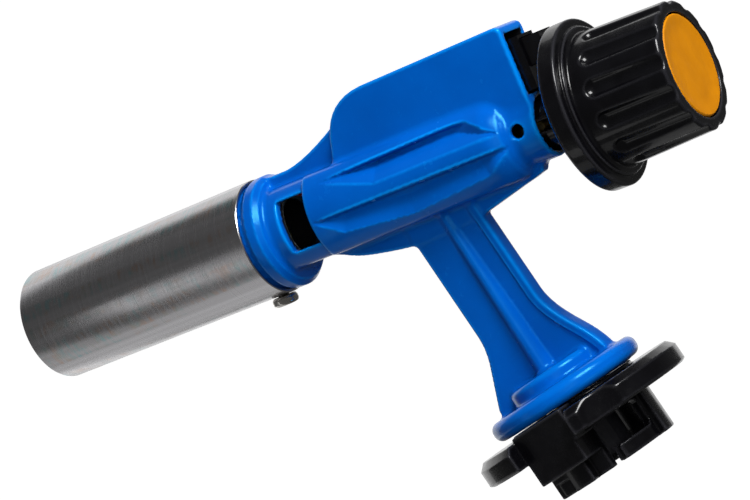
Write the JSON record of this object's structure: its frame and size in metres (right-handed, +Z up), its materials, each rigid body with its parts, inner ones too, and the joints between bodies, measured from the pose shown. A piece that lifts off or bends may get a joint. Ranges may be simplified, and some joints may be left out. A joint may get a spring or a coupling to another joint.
{
  "type": "cartridge blow torch",
  "caption": "Hand blow torch head with flame tube, valve and igniter knob, and a coupling for a gas cartridge.",
  "frame": {"origin": "on the coupling's axis, in the plane of the seating disc's underside", "axes": "+Z up the coupling and the stem, the flame leaves towards -X, Y = 0 is the plane the barrel, the housing and the stem lie in"},
  "size_m": [0.165, 0.0463, 0.1045],
  "materials": {
    "blue_paint": "gloss blue enamel over a die casting",
    "flame_steel": "lengthwise brushed stainless steel",
    "bright_steel": "bright plated steel",
    "brass": "turned brass",
    "black_plastic": "glossy moulded black plastic",
    "grey_plastic": "plain dark grey plastic",
    "yellow_plastic": "satin yellow plastic",
    "rubber": "matt black nitrile rubber",
    "ceramic": "glazed white ceramic",
    "lead_sheath": "red silicone sheath"
  },
  "bodies": {
    "torch": {"body_casting": "blue_paint", "flame_tube": "flame_steel", "flame_tube_screw": "bright_steel", "burner_tube": "brass", "flame_holder": "flame_steel", "burner_cap": "brass", "electrode_insulator": "ceramic", "igniter_electrode": "flame_steel", "ignition_lead": "lead_sheath", "gas_jet": "brass", "gland_nut": "brass", "piezo_body": "black_plastic", "piezo_crystal": "ceramic", "coupling_body": "black_plastic", "coupling_sleeve": "grey_plastic", "inlet_nozzle": "brass", "inlet_seal": "rubber", "coupling_screw_1": "bright_steel", "coupling_screw_2": "bright_steel", "coupling_screw_3": "bright_steel"},
    "spindle_seal": {"spindle_o_ring": "rubber"},
    "spindle": {"valve_spindle": "brass", "spindle_cross_pin": "brass", "knob_screw": "bright_steel"},
    "knob": {"control_knob": "black_plastic", "knob_cap": "yellow_plastic"},
    "plunger": {"piezo_plunger": "black_plastic"}
  },
  "joints": [
    {"name": "spindle_rise", "type": "slide", "parent": "torch", "child": "spindle_seal", "axis": [0.9753, 0, -0.2209], "range_m": [0, 0.00093]},
    {"name": "knob_turn", "type": "hinge", "parent": "spindle_seal", "child": "spindle", "pos_m": [0, 0, 0.0611], "axis": [0.9753, 0, -0.2209], "range_deg": [0, 450]},
    {"name": "knob_push", "type": "slide", "parent": "spindle", "child": "knob", "axis": [-0.9753, 0, 0.2209], "range_m": [0, 0.005], "stiffness_N_per_m": 2500, "springref_m": -0.0004},
    {"name": "piezo_press", "type": "slide", "parent": "torch", "child": "plunger", "axis": [-0.9753, 0, 0.2209], "range_m": [0, 0.005]}
  ],
  "couplings": [
    {"joint": "knob_turn", "follows": "spindle_rise", "rad_per_m": 8377.6},
    {"joint": "piezo_press", "follows": "knob_push", "ratio": 1}
  ]
}
